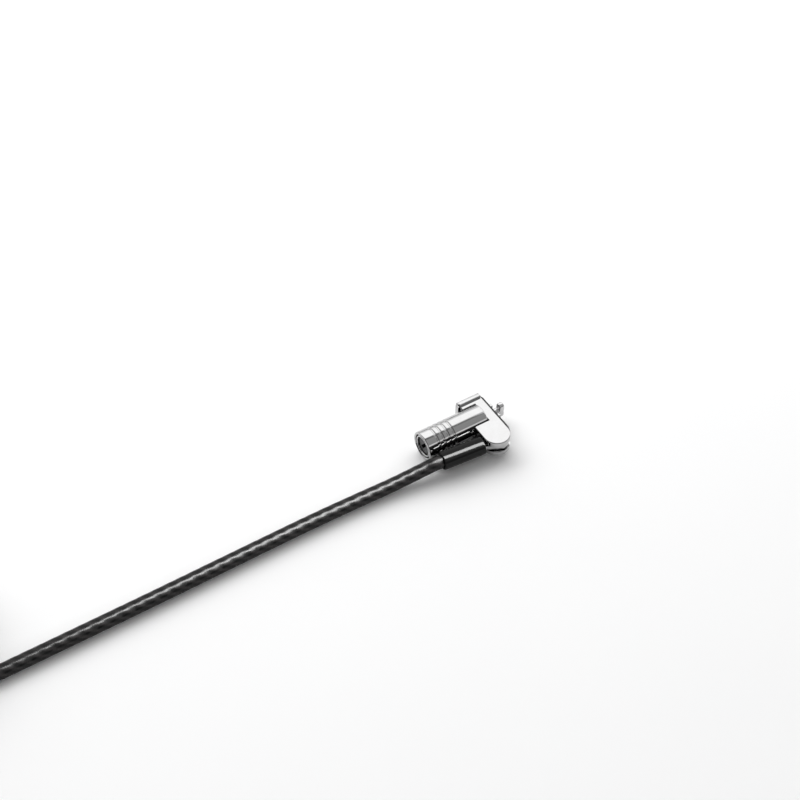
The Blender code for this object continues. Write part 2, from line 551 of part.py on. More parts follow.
def make_end_loop(mats, hinge):
    """Crimped ferrule on the cable's end and the eye beyond it, lying on the coil."""
    start = COIL_CENTRE + Vector((TAIL_START_R - TAIL_R, -TAIL_R, TAIL_Z))
    sleeve = bmesh.new()
    length, chamfer = FERRULE_LENGTH, 0.8 * MM
    sides = 32
    rings = []
    for x, scale in ((0.0, 0.86), (chamfer, 1.0), (length - chamfer, 1.0), (length, 0.86)):
        ring = []
        for step in range(sides):
            angle = 2 * math.pi * step / sides
            ring.append(sleeve.verts.new((-x, scale * FERRULE_HALF_WIDTH * math.cos(angle),
                                          scale * FERRULE_HALF_HEIGHT * math.sin(angle))))
        rings.append(ring)
    for near, far in zip(rings, rings[1:]):
        for step in range(sides):
            sleeve.faces.new((near[step], near[(step + 1) % sides], far[(step + 1) % sides], far[step]))
    sleeve.faces.new(rings[0])
    sleeve.faces.new(rings[-1])
    bmesh.ops.translate(sleeve, verts=sleeve.verts, vec=(start.x - GAP, start.y, start.z))
    hang_on(add_solid("loop_ferrule", sleeve, mats["steel"], None), hinge)

    root = start.x - GAP - length - GAP
    outline = [(-0.3, 2.3), (-2.0, 2.5), (-5.0, 4.6), (-9.5, 8.4), (-14.0, 10.9)]
    end_x, end_r = -(LOOP_LENGTH - LOOP_HALF_WIDTH) / MM, LOOP_HALF_WIDTH / MM
    turn = arc(end_x, 0.0, end_r, 80, 280, 10)
    mirrored = [(x, -y) for x, y in reversed(outline)]
    points = [Vector((root + x * MM, start.y + y * MM, LOOP_Z)) for x, y in outline + turn + mirrored]
    cable_tube("end_loop", points, mats["cable_sheath"], hinge, 4.0 * MM, LOOP_TUBE_R)


def main():
    clear_scene()
    mats = make_materials()
    lock = frame_empty("lock_frame", LOCK_ORIGIN)
    hinge = frame_empty("hinge_frame", PIVOT, BOOT_YAW, lock)
    make_head(mats, lock)
    make_face_pad(mats, lock)
    make_barrel(mats, lock)
    make_core(mats, lock)
    make_t_bar(mats, lock)
    make_pivot(mats, lock)
    make_knuckle(mats, hinge)
    make_boot(mats, hinge)
    cable_tube("cable", cable_route(), mats["cable_sheath"], hinge, 6.0 * MM)
    make_coil(mats, hinge)
    cable_tube("cable_tail", tail_route(), mats["cable_sheath"], hinge, 4.0 * MM)
    make_end_loop(mats, hinge)


main()
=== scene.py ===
"""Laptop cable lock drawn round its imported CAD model: chrome head and barrel, hinged boot, coiled cable."""
import math

import bmesh
import bpy
from mathutils import Matrix, Vector


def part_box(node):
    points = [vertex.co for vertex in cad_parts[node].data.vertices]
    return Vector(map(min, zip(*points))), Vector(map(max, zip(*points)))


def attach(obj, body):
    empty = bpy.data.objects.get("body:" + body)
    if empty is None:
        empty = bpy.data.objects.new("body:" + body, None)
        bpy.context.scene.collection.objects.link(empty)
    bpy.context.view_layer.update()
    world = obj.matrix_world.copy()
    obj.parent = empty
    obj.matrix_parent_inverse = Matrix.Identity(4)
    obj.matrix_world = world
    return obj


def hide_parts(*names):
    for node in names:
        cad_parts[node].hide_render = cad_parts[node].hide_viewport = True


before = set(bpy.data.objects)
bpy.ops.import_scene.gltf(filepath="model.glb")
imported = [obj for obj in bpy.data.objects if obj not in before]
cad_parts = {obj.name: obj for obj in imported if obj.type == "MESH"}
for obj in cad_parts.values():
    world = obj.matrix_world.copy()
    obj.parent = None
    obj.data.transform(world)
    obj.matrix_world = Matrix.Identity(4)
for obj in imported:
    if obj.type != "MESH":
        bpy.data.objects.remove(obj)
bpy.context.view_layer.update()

MM = 0.001


# ---- places, read from the CAD boxes; shapes below are in millimetres in these frames ----
def lock_frame():
    """x = 0 is the plane that presses on the laptop, y = z = 0 the barrel's axis."""
    low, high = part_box("barrel_sleeve")
    return Matrix.Translation((high.x - BARREL_FRONT * MM, (low.y + high.y) / 2, (low.z + high.z) / 2))


def coil_frame():
    low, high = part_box("cable_coil")
    return Matrix.Translation(((low.x + high.x) / 2, (low.y + high.y) / 2, 0.0))


BARREL_R = 5.5
BARREL_BACK = -29.9                # key end
BARREL_FRONT = -4.7                # end in the head's saddle
BACK_ROUNDING = 0.5
BORE_R = 4.55
GROOVES = (-25.4, -23.2, -21.0, -18.8)
GROOVE_WIDTH = 0.9
GROOVE_DEPTH = 0.45

HEAD_HALF_H = 3.4
HEAD_FRONT = -0.8
HEAD_REAR = -10.7
SADDLE_R = 5.8
WEB_REAR = -4.4
ARM_INNER_Y = 6.2
ARM_OUTER_Y = 8.2
ARM_REAR = -10.5
ARM_SLANT = 0.8
ARM_TOP = 4.4
ARM_TOP_FALL = 0.23                # the arm's top drops this much per millimetre towards its outer side
T_SHAFT_R = 1.25
T_REACH = 4.4
T_BAR_THICKNESS = 2.0
T_BAR_HALF_SPAN = 3.2
LUG_INNER_Y = 1.9                  # lugs that fill the slot's ends
LUG_OUTER_Y = 3.3
LUG_HALF_H = 1.3
LUG_REACH = 1.6
SCREW_Y = 2.5                      # the two bush screws stand at (y, z) and (-y, -z)
SCREW_Z = 2.1
SCREW_R = 0.5
SCREW_HEAD_R = 0.85
KEYWAY_TILT = 35                   # degrees

PIVOT = Vector((-5.75, -11.0, 0.0))
EAR_R = 4.95
SLOT_HALF = 1.35
SLOT_DEPTH_R = 6.2
TONGUE_R = 4.5
TONGUE_HALF = 0.8
PIN_R = 1.1
PIN_TOP = 2.4
BOOT_YAW = -4.5                    # degrees
NECK_START = 5.4                   # distances from the pivot along the boot
NECK_END = 7.6
NECK_R = 2.35                      # the neck stands inside the boot
BOOT_START = 5.8
BOOT_END = 22.1
BOOT_R = 3.35
BOOT_BORE_R = 2.7

CABLE_R = 2.5
STRANDS = 6
STRAND_LAY = 27.0                  # length of cable in which a strand goes once round
STRAND_RELIEF = 0.11
COIL_OUTER = 34.0                  # centre line of the outermost turn; three turns lie side by side
TURN_PITCH = 5.0
LAYER_Z = (3.7, 8.7, 13.7)
COIL_TURNS = 8.75
TIE_ANGLES = (50, 160)             # degrees round the coil
TAIL_R = 20.0
TAIL_Z = 19.9
CLEARANCE = 0.3

SCALE = Matrix.Scale(MM, 4)
LOCK = lock_frame() @ SCALE
HINGE = LOCK @ Matrix.Translation(PIVOT) @ Matrix.Rotation(math.radians(BOOT_YAW), 4, "Z")
COIL = coil_frame() @ SCALE


# ---- camera ----
def make_camera():
    """Looks down at 48 degrees, along +Y turned 32 degrees towards +X."""
    data = bpy.data.cameras.new("view")
    data.sensor_width = 36.0
    data.lens = 66.7
    data.clip_start = 0.01
    data.shift_y = -0.00125
    cam = bpy.data.objects.new("view", data)
    cam.location = (-0.20241, -0.28018, 0.40402)
    heading = Vector((0.35417, 0.57122, -0.74045))
    cam.rotation_euler = heading.to_track_quat("-Z", "Y").to_euler()
    bpy.context.scene.collection.objects.link(cam)
    bpy.context.scene.camera = cam


# ---- node helpers ----
def new_material(name, colour, roughness, metallic=0.0, **extra):
    mat = bpy.data.materials.new(name)
    mat.use_nodes = True
    shader = mat.node_tree.nodes["Principled BSDF"]
    shader.inputs["Base Color"].default_value = (*colour, 1.0)
    shader.inputs["Roughness"].default_value = roughness
    shader.inputs["Metallic"].default_value = metallic
    for key, value in extra.items():
        shader.inputs[key].default_value = value
    return mat, mat.node_tree, shader


def object_coordinates(tree, scale=(1.0, 1.0, 1.0)):
    place = tree.nodes.new("ShaderNodeTexCoord")
    mapping = tree.nodes.new("ShaderNodeMapping")
    mapping.inputs["Scale"].default_value = scale
    tree.links.new(place.outputs["Object"], mapping.inputs["Vector"])
    return mapping.outputs["Vector"]


def noise_field(tree, vector, feature_mm, detail=4.0):
    node = tree.nodes.new("ShaderNodeTexNoise")
    node.inputs["Scale"].default_value = 1.0 / (feature_mm * MM)
    node.inputs["Detail"].default_value = detail
    node.inputs["Roughness"].default_value = 0.55
    tree.links.new(vector, node.inputs["Vector"])
    return node.outputs["Fac"]


def remap(tree, value, low, high, to_low, to_high):
    node = tree.nodes.new("ShaderNodeMapRange")
    for key, number in (("From Min", low), ("From Max", high), ("To Min", to_low), ("To Max", to_high)):
        node.inputs[key].default_value = number
    tree.links.new(value, node.inputs["Value"])
    return node.outputs["Result"]


def math_node(tree, operation, first, second=None):
    node = tree.nodes.new("ShaderNodeMath")
    node.operation = operation
    for socket, value in zip(node.inputs, (first, second)):
        if isinstance(value, (int, float)):
            socket.default_value = value
        elif value is not None:
            tree.links.new(value, socket)
    return node.outputs[0]


def mix_colours(tree, factor, first, second):
    node = tree.nodes.new("ShaderNodeMix")
    node.data_type = "RGBA"
    tree.links.new(factor, node.inputs["Factor"])
    node.inputs["A"].default_value = (*first, 1.0)
    node.inputs["B"].default_value = (*second, 1.0)
    return node.outputs["Result"]


def add_bump(tree, shader, height, depth_mm):
    node = tree.nodes.new("ShaderNodeBump")
    node.inputs["Strength"].default_value = 1.0
    node.inputs["Distance"].default_value = depth_mm * MM
    tree.links.new(height, node.inputs["Height"])
    tree.links.new(node.outputs["Normal"], shader.inputs["Normal"])


# ---- materials ----
def chrome_material():
    """Bright nickel-chrome plate on a die casting: faint swirl marks and finger smears."""
    mat, tree, shader = new_material("chrome_plate", (0.50, 0.50, 0.505), 0.08, 1.0)
    smear = noise_field(tree, object_coordinates(tree), 3.5)
    scratch = noise_field(tree, object_coordinates(tree, (0.18, 1.0, 1.6)), 0.09, 2.0)
    blend = math_node(tree, "ADD", math_node(tree, "MULTIPLY", smear, 0.7),
                      math_node(tree, "MULTIPLY", scratch, 0.3))
    tree.links.new(remap(tree, blend, 0.35, 0.65, 0.035, 0.12), shader.inputs["Roughness"])
    tint = mix_colours(tree, smear, (0.52, 0.52, 0.525), (0.465, 0.462, 0.458))
    tree.links.new(tint, shader.inputs["Base Color"])
    add_bump(tree, shader, scratch, 0.0012)
    return mat


def steel_material():
    """Turned steel: fine tool marks round the axis and a dull, uneven sheen."""
    mat, tree, shader = new_material("turned_steel", (0.58, 0.58, 0.59), 0.3, 1.0)
    marks = noise_field(tree, object_coordinates(tree, (1.0, 0.12, 0.12)), 0.06, 3.0)
    patch = noise_field(tree, object_coordinates(tree), 2.2)
    tree.links.new(remap(tree, patch, 0.3, 0.7, 0.2, 0.38), shader.inputs["Roughness"])
    tint = mix_colours(tree, patch, (0.62, 0.62, 0.63), (0.50, 0.495, 0.49))
    tree.links.new(tint, shader.inputs["Base Color"])
    add_bump(tree, shader, marks, 0.006)
    return mat


def brass_material():
    """Cut brass: tool marks round the axis and darker patches of tarnish."""
    mat, tree, shader = new_material("cut_brass", (0.72, 0.53, 0.25), 0.3, 1.0)
    patch = noise_field(tree, object_coordinates(tree), 1.4)
    marks = noise_field(tree, object_coordinates(tree, (1.0, 0.15, 0.15)), 0.05, 2.0)
    tree.links.new(remap(tree, patch, 0.3, 0.7, 0.22, 0.42), shader.inputs["Roughness"])
    tint = mix_colours(tree, patch, (0.76, 0.57, 0.28), (0.56, 0.40, 0.19))
    tree.links.new(tint, shader.inputs["Base Color"])
    add_bump(tree, shader, marks, 0.005)
    return mat


def core_material():
    """Blackened steel of the key plug, rubbed through in places by keys; its dark colour is partly painted
    shade of the plug's recessed face.
    """
    mat, tree, shader = new_material("blackened_steel_and_recess_shade", (0.05, 0.05, 0.052), 0.3, 1.0)
    marks = noise_field(tree, object_coordinates(tree, (1.0, 0.2, 0.2)), 0.08, 3.0)
    rubbed = noise_field(tree, object_coordinates(tree), 0.7, 4.0)
    tree.links.new(remap(tree, marks, 0.3, 0.7, 0.22, 0.42), shader.inputs["Roughness"])
    worn = remap(tree, rubbed, 0.6, 0.75, 0.0, 1.0)
    # the dark base colour is partly painted shade of the recessed face; the paler patches are wear from keys
    tree.links.new(mix_colours(tree, worn, (0.035, 0.035, 0.037), (0.16, 0.158, 0.155)),
                   shader.inputs["Base Color"])
    add_bump(tree, shader, marks, 0.006)
    return mat


def rubber_material():
    """Matt pad rubber with a fine eroded grain and paler scuffs."""
    mat, tree, shader = new_material("pad_rubber", (0.03, 0.03, 0.031), 0.78)
    grain = noise_field(tree, object_coordinates(tree), 0.14, 3.0)
    scuff = noise_field(tree, object_coordinates(tree), 2.6, 5.0)
    tree.links.new(remap(tree, grain, 0.3, 0.7, 0.62, 0.9), shader.inputs["Roughness"])
    tint = mix_colours(tree, scuff, (0.022, 0.022, 0.023), (0.06, 0.059, 0.058))
    tree.links.new(tint, shader.inputs["Base Color"])
    add_bump(tree, shader, grain, 0.02)
    return mat


def boot_material():
    """Glossy moulded plastic: slow waviness, a trace of dust and hairline rubbing."""
    mat, tree, shader = new_material("boot_gloss", (0.004, 0.004, 0.0045), 0.12, 0.0,
                                     **{"Specular IOR Level": 0.13})
    wave = noise_field(tree, object_coordinates(tree), 1.8, 1.0)
    dust = noise_field(tree, object_coordinates(tree), 0.12, 4.0)
    rub = noise_field(tree, object_coordinates(tree, (0.15, 1.0, 1.0)), 0.16, 3.0)
    tree.links.new(remap(tree, rub, 0.35, 0.7, 0.09, 0.2), shader.inputs["Roughness"])
    specks = remap(tree, dust, 0.62, 0.78, 0.0, 1.0)
    tint = mix_colours(tree, specks, (0.0015, 0.0015, 0.0015), (0.01, 0.01, 0.01))
    tree.links.new(tint, shader.inputs["Base Color"])
    add_bump(tree, shader, wave, 0.012)
    return mat


def sheath_material():
    """Smoked vinyl over steel strand: the strands show paler through it, following the lay."""
    mat, tree, shader = new_material("cable_vinyl", (0.01, 0.0095, 0.0095), 0.25, 0.0,
                                     **{"Specular IOR Level": 0.17})
    place = tree.nodes.new("ShaderNodeUVMap")
    place.uv_map = "lay"
    split = tree.nodes.new("ShaderNodeSeparateXYZ")
    tree.links.new(place.outputs["UV"], split.inputs["Vector"])
    phase = math_node(tree, "SUBTRACT", split.outputs["Y"], split.outputs["X"])
    turn = math_node(tree, "MULTIPLY", phase, 2 * math.pi * STRANDS)
    lobe = remap(tree, math_node(tree, "COSINE", turn), -0.6, 1.0, 0.0, 1.0)
    wires = math_node(tree, "SINE", math_node(tree, "MULTIPLY", turn, 6.0))
    mottle = noise_field(tree, object_coordinates(tree), 1.6, 4.0)
    shown = math_node(tree, "MULTIPLY", lobe, remap(tree, mottle, 0.3, 0.7, 0.55, 1.0))
    tint = mix_colours(tree, shown, (0.0012, 0.0012, 0.0012), (0.0065, 0.006, 0.006))
    tree.links.new(tint, shader.inputs["Base Color"])
    tree.links.new(remap(tree, mottle, 0.3, 0.7, 0.2, 0.34), shader.inputs["Roughness"])
    fine = math_node(tree, "ADD", math_node(tree, "MULTIPLY", wires, 0.12), mottle)
    add_bump(tree, shader, fine, 0.007)
    return mat


def tie_material():
    """Hook-and-loop strap: short loops in a close weave, with fluff on top."""
    mat, tree, shader = new_material("tie_fabric", (0.016, 0.016, 0.018), 0.92, 0.0,
                                     **{"Sheen Weight": 0.15, "Sheen Roughness": 0.5})
    loops = tree.nodes.new("ShaderNodeTexVoronoi")
    loops.inputs["Scale"].default_value = 1.0 / (0.35 * MM)
    tree.links.new(object_coordinates(tree), loops.inputs["Vector"])
    fluff = noise_field(tree, object_coordinates(tree), 0.2, 5.0)
    height = math_node(tree, "ADD", loops.outputs["Distance"], math_node(tree, "MULTIPLY", fluff, 0.8))
    tint = mix_colours(tree, fluff, (0.010, 0.010, 0.011), (0.04, 0.04, 0.042))
    tree.links.new(tint, shader.inputs["Base Color"])
    tree.links.new(remap(tree, fluff, 0.3, 0.7, 0.82, 0.98), shader.inputs["Roughness"])
    add_bump(tree, shader, height, 0.12)
    return mat


def floor_material():
    """White table top with a very faint, slow variation."""
    mat, tree, shader = new_material("studio_floor", (0.93, 0.93, 0.93), 0.7)
    cloud = noise_field(tree, object_coordinates(tree), 60.0, 3.0)
    tree.links.new(mix_colours(tree, cloud, (0.935, 0.935, 0.935), (0.92, 0.92, 0.922)),
                   shader.inputs["Base Color"])
    return mat


# ---- mesh helpers, all in millimetres ----
def arc(cx, cy, radius, start, stop, steps):
    points = []
    for step in range(steps + 1):
        angle = math.radians(start + (stop - start) * step / steps)
        points.append((cx + radius * math.cos(angle), cy + radius * math.sin(angle)))
    return points


def circle(cx, cy, radius, sides=48):
    return arc(cx, cy, radius, 0, 360, sides)[:-1]


def rectangle(a0, a1, b0, b1):
    return [(a0, b0), (a1, b0), (a1, b1), (a0, b1)]


def prism(outline, low, high, axis="Z"):
    """Extrudes a closed outline; axis Z reads (x, y) points, axis X reads (y, z) points."""
    def corner(a, b, level):
        return (a, b, level) if axis == "Z" else (level, a, b)

    bm = bmesh.new()
    bottom = [bm.verts.new(corner(a, b, low)) for a, b in outline]
    top = [bm.verts.new(corner(a, b, high)) for a, b in outline]
    bm.faces.new(bottom)
    bm.faces.new(top)
    for index in range(len(outline)):
        after = (index + 1) % len(outline)
        bm.faces.new((bottom[index], bottom[after], top[after], top[index]))
    bmesh.ops.recalc_face_normals(bm, faces=bm.faces)
    return bm


def lathe(profile, closed=False, sides=96):
    """Revolves (x, r) points about X; a point with r = 0 ends the surface on the axis."""
    bm = bmesh.new()
    rings = []
    for x, radius in profile:
        if radius <= 0.0:
            rings.append([bm.verts.new((x, 0.0, 0.0))] * sides)
            continue
        rings.append([bm.verts.new((x, radius * math.cos(2 * math.pi * step / sides),
                                    radius * math.sin(2 * math.pi * step / sides)))
                      for step in range(sides)])
    count = len(rings)
    for index in range(count if closed else count - 1):
        near, far = rings[index], rings[(index + 1) % count]
        for step in range(sides):
            after = (step + 1) % sides
            corners = list(dict.fromkeys([near[step], near[after], far[after], far[step]]))
            if len(corners) > 2:
                bm.faces.new(corners)
    bmesh.ops.recalc_face_normals(bm, faces=bm.faces)
    return bm


def round_corners(points, radius, steps=3, closed=True):
    """Replaces each corner of a profile by a short curve; the radius shrinks on short sides."""
    rounded = []
    count = len(points)
    for index, point in enumerate(points):
        here = Vector(point)
        if not closed and index in (0, count - 1):
            rounded.append(tuple(here))
            continue
        before, after = Vector(points[index - 1]), Vector(points[(index + 1) % count])
        reach = min(radius, (before - here).length * 0.45, (after - here).length * 0.45)
        enter = here + (before - here).normalized() * reach
        leave = here + (after - here).normalized() * reach
        for step in range(steps + 1):
            t = step / steps
            rounded.append(tuple(enter * (1 - t) ** 2 + here * 2 * t * (1 - t) + leave * t * t))
    return rounded


def bevel_sharp(bm, width, segments=3):
    """Rounds every edge where two faces meet at more than 40 degrees."""
    edges = [edge for edge in bm.edges if len(edge.link_faces) == 2
             and edge.calc_face_angle(0.0) > math.radians(40)]
    bmesh.ops.bevel(bm, geom=edges, offset=width, segments=segments, profile=0.5,
                    affect="EDGES", clamp_overlap=True)
    return bm


def moved(bm, matrix):
    bmesh.ops.transform(bm, matrix=matrix, verts=bm.verts)
    return bm


def combine(bm, tool, operation="DIFFERENCE"):
    """Exact boolean of two meshes, used up into a new one."""
    pair = []
    for part in (bm, tool):
        mesh = bpy.data.meshes.new("working")
        part.to_mesh(mesh)
        part.free()
        obj = bpy.data.objects.new("working", mesh)
        bpy.context.scene.collection.objects.link(obj)
        pair.append(obj)
    modifier = pair[0].modifiers.new("combine", "BOOLEAN")
    modifier.operation = operation
    modifier.object = pair[1]
    modifier.solver = "EXACT"
    result = bmesh.new()
    result.from_object(pair[0], bpy.context.evaluated_depsgraph_get())
    for obj in pair:
        mesh = obj.data
        bpy.data.objects.remove(obj, do_unlink=True)
        bpy.data.meshes.remove(mesh)
    bmesh.ops.remove_doubles(result, verts=result.verts, dist=0.0005)
    return result


def add_piece(name, bm, place, mat, body, nodes=(), sharp=35.0, flat_faces=False):
    """Puts a millimetre mesh in its frame as a piece that rides on a body and stands for CAD nodes."""
    bmesh.ops.transform(bm, matrix=place, verts=bm.verts)
    bmesh.ops.recalc_face_normals(bm, faces=bm.faces)
    mesh = bpy.data.meshes.new(name)
    bm.to_mesh(mesh)
    bm.free()
    mesh.shade_smooth()
    mesh.set_sharp_from_angle(angle=math.radians(sharp))
    mesh.materials.append(mat)
    obj = bpy.data.objects.new(name, mesh)
    bpy.context.scene.collection.objects.link(obj)
    if flat_faces:
        weights = obj.modifiers.new("flat_faces", "WEIGHTED_NORMAL")
        weights.keep_sharp = True
        weights.weight = 100
    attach(obj, body)
    if nodes:
        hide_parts(*nodes)
    return obj


# ---- cable ----
def smooth_path(points, spacing):
    """Reads a Catmull-Rom curve through the points at an even spacing."""
    knots = [points[0] * 2 - points[1], *points, points[-1] * 2 - points[-2]]
    dense = []
    for index in range(1, len(knots) - 2):
        a, b, c, d = knots[index - 1:index + 3]
        for step in range(12):
            t = step / 12
            dense.append(0.5 * ((2 * b) + (c - a) * t + (2 * a - 5 * b + 4 * c - d) * t * t
                                + (3 * b - a - 3 * c + d) * t ** 3))
    dense.append(points[-1])
    lengths = [0.0]
    for before, after in zip(dense, dense[1:]):
        lengths.append(lengths[-1] + (after - before).length)
    count = max(2, round(lengths[-1] / spacing))
    even, index = [], 0
    for step in range(count + 1):
        target = lengths[-1] * step / count
        while index < len(lengths) - 2 and lengths[index + 1] < target:
            index += 1
        part = (target - lengths[index]) / max(1e-9, lengths[index + 1] - lengths[index])
        even.append(dense[index].lerp(dense[index + 1], min(1.0, part)))
    return even


def ease(value):
    value = min(1.0, max(0.0, value))
    return value * value * (3 - 2 * value)


def lead_in():
    """Out of the boot, down to the table and straight along it; the route is the CAD cable's own."""
    points = [HINGE @ Vector((-BOOT_END + 3.2, 0.0, 0.0)), HINGE @ Vector((-BOOT_END - 2.0, 0.0, 0.0))]
    lock_x, line_y = LOCK.translation.x, LOCK.translation.y - 6.5 * MM
    along = (-34.0, -46.0, -60.0, -78.0, -105.0, -135.0, -165.0, -190.0, -209.2)
    aside = (2.0, 1.1, 0.35, -0.05, 0.0, 0.15, 0.1, 0.0, 0.0)
    height = (4.6, 3.1, 2.6, 2.55, 2.55, 2.55, 2.55, 2.55, 2.8)
    for x, y, z in zip(along, aside, height):
        points.append(Vector((lock_x + x * MM, line_y - y * MM, z * MM)))
    return points


def shifted(turn, moves):
    """Sum of eased steps; each move is (start, end, amount), with start and end in turns."""
    return sum(amount * ease((turn - start) / (end - start)) for start, end, amount in moves)


# Where a turn steps to the next place: inwards below, outwards in the middle, inwards on top, then out.
SIDE_STEPS = ((0.84, 0.98, -TURN_PITCH), (1.84, 1.98, -TURN_PITCH), (3.52, 3.68, TURN_PITCH),
              (4.52, 4.68, TURN_PITCH), (6.20, 6.35, -TURN_PITCH), (7.20, 7.35, -TURN_PITCH),
              (8.32, 8.68, 2 * TURN_PITCH))
LAYER_STEPS = ((2.66, 2.84, LAYER_Z[1] - LAYER_Z[0]), (5.34, 5.52, LAYER_Z[2] - LAYER_Z[1]),
               (8.16, 8.36, TAIL_Z - LAYER_Z[2]))


def coil_turns():
    """Three layers wound in, out and in again; the last turn lifts over the top towards its fitting."""
    points = []
    steps_per_turn = 32
    for step in range(int(COIL_TURNS * steps_per_turn) + 1):
        turn = step / steps_per_turn
        radius = COIL_OUTER + shifted(turn, SIDE_STEPS)
        height = LAYER_Z[0] + shifted(turn, LAYER_STEPS)
        angle = -math.pi / 2 - 2 * math.pi * turn
        points.append(COIL @ Vector((radius * math.cos(angle), radius * math.sin(angle), height)))
    return points


def tail():
    """Quarter bend from the lifted turn into the end ferrule."""
    low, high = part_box("loop_ferrule")
    end_z = (low.z + high.z) / 2 / MM
    points = []
    for step in range(1, 9):
        angle = -math.pi / 2 * step / 8
        height = TAIL_Z + (end_z - TAIL_Z) * step / 8
        points.append(COIL @ Vector((COIL_OUTER - TAIL_R + TAIL_R * math.cos(angle),
                                     TAIL_R * math.sin(angle), height)))
    return points


def strand_tube(path, radius, sides, relief):
    """Tube with the rope lay standing out of its skin, and a UV map that follows the lay."""
    bm = bmesh.new()
    layer = bm.loops.layers.uv.new("lay")
    rings, travelled = [], [0.0]
    side = Vector((0.0, 0.0, 1.0))
    for index, centre in enumerate(path):
        ahead = path[min(index + 1, len(path) - 1)] - path[max(index - 1, 0)]
        ahead.normalize()
        side = (side - ahead * side.dot(ahead)).normalized()
        across = ahead.cross(side)
        if index:
            travelled.append(travelled[-1] + (centre - path[index - 1]).length / MM)
        ring = []
        for step in range(sides):
            angle = 2 * math.pi * step / sides
            phase = STRANDS * (angle / 2 - math.pi * travelled[index] / STRAND_LAY)
            depth = relief * (1.0 - abs(math.cos(phase))) ** 1.5
            reach = (radius - depth) * MM
            ring.append(bm.verts.new(centre + side * reach * math.cos(angle)
                                     + across * reach * math.sin(angle)))
        rings.append(ring)
    for index, (near, far) in enumerate(zip(rings, rings[1:])):
        for step in range(sides):
            after = (step + 1) % sides
            face = bm.faces.new((near[step], near[after], far[after], far[step]))
            marks = ((index, step), (index, step + 1), (index + 1, step + 1), (index + 1, step))
            for loop, (along, round_step) in zip(face.loops, marks):
                loop[layer].uv = (travelled[along] / STRAND_LAY, round_step / sides)
    for ring in (rings[0], rings[-1]):
        bm.faces.new(ring)
    return bm


def make_cable(mats):
    route = lead_in() + coil_turns() + tail()
    path = smooth_path(route, 1.1 * MM)
    tube = strand_tube(path, CABLE_R, 36, STRAND_RELIEF)
    cable = add_piece("steel_cable", tube, Matrix.Identity(4), mats["cable_sheath"], "cable_hinge",
                      ("cable", "cable_coil", "cable_tail"), sharp=80)
    return cable, path


def strap_line(low_r, high_r, low_z, high_z, radius, lap):
    """Once round a rounded rectangle in (r, z) from the middle of its top, then on over itself by lap."""
    middle = (low_r + high_r) / 2
    line = [(middle, high_z)]
    for cx, cz, start in ((low_r + radius, high_z - radius, 90), (low_r + radius, low_z + radius, 180),
                          (high_r - radius, low_z + radius, 270), (high_r - radius, high_z - radius, 0)):
        line += arc(cx, cz, radius, start, start + 90, 6)
    line += [(middle + 3.0, high_z + 0.12), (middle, high_z + 0.72), (middle - lap / 2, high_z + 0.78),
             (middle - lap, high_z + 0.74)]
    return line


def make_tie(index, degrees, mats):
    """Hook-and-loop strap round the turns, its free end lapped over on the top."""
    width, thickness = 9.0, 0.7
    corner, lap = 2.4, 5.5
    bottom = 0.65
    coil_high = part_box("cable_coil")[1].z / MM
    inner = COIL_OUTER - 2 * TURN_PITCH - CABLE_R
    inner = math.sqrt(inner ** 2 - (width / 2) ** 2)
    line = strap_line(inner - 0.5, COIL_OUTER + CABLE_R + 0.45, bottom, coil_high + 0.4, corner, lap)
    section = ((-0.5, 0.3), (-0.47, 1.0), (0.47, 1.0), (0.5, 0.3), (0.5, -0.3), (0.47, -1.0), (-0.47, -1.0),
               (-0.5, -0.3))
    bm = bmesh.new()
    rows = []
    for place, (r, z) in enumerate(line):
        before, after = Vector(line[max(place - 1, 0)]), Vector(line[min(place + 1, len(line) - 1)])
        along = (after - before).normalized()
        outward = Vector((along.y, -along.x)) * thickness / 2
        rows.append([bm.verts.new((r + outward.x * depth, across * width, z + outward.y * depth))
                     for across, depth in section])
    for near, far in zip(rows, rows[1:]):
        for step in range(len(section)):
            after = (step + 1) % len(section)
            bm.faces.new((near[step], near[after], far[after], far[step]))
    bm.faces.new(rows[0])
    bm.faces.new(rows[-1])
    place = COIL @ Matrix.Rotation(math.radians(degrees), 4, "Z")
    return add_piece(f"strap_{index}", bm, place, mats["tie_fabric"], "cable_hinge",
                     (f"cable_tie_{index}",), sharp=50)


def make_ferrule(mats):
    """Oval aluminium sleeve crimped on the cable's end, with three press marks."""
    low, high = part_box("loop_ferrule")
    centre = (low + high) / 2
    half = (high - low) / 2 / MM
    sides, stations = 48, 61
    mark_places, mark_width = (-4.2, 0.0, 4.2), 0.75
    end_taper, mark_depth = 0.16, 0.13
    bm = bmesh.new()
    rings = []
    for index in range(stations):
        t = index / (stations - 1)
        x = half.x * (1 - 2 * t)
        edge = min(t, 1 - t) * 2 * half.x
        shrink = 1.0 - end_taper * (1 - ease(edge))
        press = sum(math.exp(-((x - mark) / mark_width) ** 2) for mark in mark_places)
        ring = []
        for step in range(sides):
            angle = 2 * math.pi * step / sides
            flat = 1.0 - mark_depth * press * math.sin(angle) ** 2
            ring.append(bm.verts.new((x, half.y * shrink * math.cos(angle),
                                      half.z * shrink * flat * math.sin(angle))))
        rings.append(ring)
    for near, far in zip(rings, rings[1:]):
        for step in range(sides):
            after = (step + 1) % sides
            bm.faces.new((near[step], near[after], far[after], far[step]))
    bm.faces.new(rings[0])
    bm.faces.new(rings[-1])
    return add_piece("crimp_sleeve", bm, Matrix.Translation(centre) @ SCALE, mats["steel"], "cable_hinge",
                     ("loop_ferrule",))


